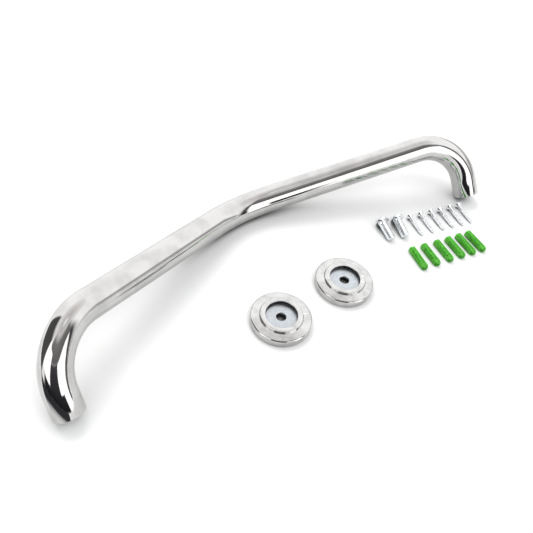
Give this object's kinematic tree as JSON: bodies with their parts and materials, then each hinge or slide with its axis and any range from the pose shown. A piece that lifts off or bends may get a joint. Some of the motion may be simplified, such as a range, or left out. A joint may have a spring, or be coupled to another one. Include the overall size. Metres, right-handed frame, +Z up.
{
  "type": "grab rail",
  "caption": "Angled tubular wall grab rail with bent legs, lying with its covers, wall plates, bolts, screws and wall plugs laid out beside it.",
  "frame": {"origin": "middle of the kit's footprint, on the surface that it lies on", "axes": "+X from the rail's left foot to its right foot, +Y towards the rail's middle bend, +Z up"},
  "size_m": [0.469, 0.1726, 0.0612],
  "materials": {
    "chrome": "polished",
    "zinc": "bright zinc plate",
    "plug_plastic": "moulded"
  },
  "bodies": {
    "rail": {"rail_tube": "chrome", "left_insert": "zinc", "right_insert": "zinc"},
    "left_plate": {"left_wall_plate": "zinc"},
    "left_cover": {"left_cover": "chrome"},
    "right_plate": {"right_wall_plate": "zinc"},
    "right_cover": {"right_cover": "chrome"},
    "bolt_1": {"bolt_1": "zinc"},
    "bolt_2": {"bolt_2": "zinc"},
    "screw_1": {"screw_1": "zinc"},
    "screw_2": {"screw_2": "zinc"},
    "screw_3": {"screw_3": "zinc"},
    "screw_4": {"screw_4": "zinc"},
    "screw_5": {"screw_5": "zinc"},
    "screw_6": {"screw_6": "zinc"},
    "wall_plug_1": {"wall_plug_1": "plug_plastic"},
    "wall_plug_2": {"wall_plug_2": "plug_plastic"},
    "wall_plug_3": {"wall_plug_3": "plug_plastic"},
    "wall_plug_4": {"wall_plug_4": "plug_plastic"},
    "wall_plug_5": {"wall_plug_5": "plug_plastic"},
    "wall_plug_6": {"wall_plug_6": "plug_plastic"}
  },
  "joints": [
    {"name": "left_plate_lift", "type": "slide", "parent": "rail", "child": "left_plate", "axis": [0, 0, 1], "range_m": [0, 0.05]},
    {"name": "left_cover_slide", "type": "slide", "parent": "left_plate", "child": "left_cover", "axis": [0, 0, 1], "range_m": [0, 0.04]},
    {"name": "right_plate_lift", "type": "slide", "parent": "rail", "child": "right_plate", "axis": [0, 0, 1], "range_m": [0, 0.05]},
    {"name": "right_cover_slide", "type": "slide", "parent": "right_plate", "child": "right_cover", "axis": [0, 0, 1], "range_m": [0, 0.04]},
    {"name": "bolt_1_lift", "type": "slide", "parent": "rail", "child": "bolt_1", "axis": [0, 0, 1], "range_m": [0, 0.05]},
    {"name": "bolt_2_lift", "type": "slide", "parent": "rail", "child": "bolt_2", "axis": [0, 0, 1], "range_m": [0, 0.05]},
    {"name": "screw_1_lift", "type": "slide", "parent": "rail", "child": "screw_1", "axis": [0, 0, 1], "range_m": [0, 0.05]},
    {"name": "screw_2_lift", "type": "slide", "parent": "rail", "child": "screw_2", "axis": [0, 0, 1], "range_m": [0, 0.05]},
    {"name": "screw_3_lift", "type": "slide", "parent": "rail", "child": "screw_3", "axis": [0, 0, 1], "range_m": [0, 0.05]},
    {"name": "screw_4_lift", "type": "slide", "parent": "rail", "child": "screw_4", "axis": [0, 0, 1], "range_m": [0, 0.05]},
    {"name": "screw_5_lift", "type": "slide", "parent": "rail", "child": "screw_5", "axis": [0, 0, 1], "range_m": [0, 0.05]},
    {"name": "screw_6_lift", "type": "slide", "parent": "rail", "child": "screw_6", "axis": [0, 0, 1], "range_m": [0, 0.05]},
    {"name": "wall_plug_1_lift", "type": "slide", "parent": "rail", "child": "wall_plug_1", "axis": [0, 0, 1], "range_m": [0, 0.05]},
    {"name": "wall_plug_2_lift", "type": "slide", "parent": "rail", "child": "wall_plug_2", "axis": [0, 0, 1], "range_m": [0, 0.05]},
    {"name": "wall_plug_3_lift", "type": "slide", "parent": "rail", "child": "wall_plug_3", "axis": [0, 0, 1], "range_m": [0, 0.05]},
    {"name": "wall_plug_4_lift", "type": "slide", "parent": "rail", "child": "wall_plug_4", "axis": [0, 0, 1], "range_m": [0, 0.05]},
    {"name": "wall_plug_5_lift", "type": "slide", "parent": "rail", "child": "wall_plug_5", "axis": [0, 0, 1], "range_m": [0, 0.05]},
    {"name": "wall_plug_6_lift", "type": "slide", "parent": "rail", "child": "wall_plug_6", "axis": [0, 0, 1], "range_m": [0, 0.05]}
  ]
}
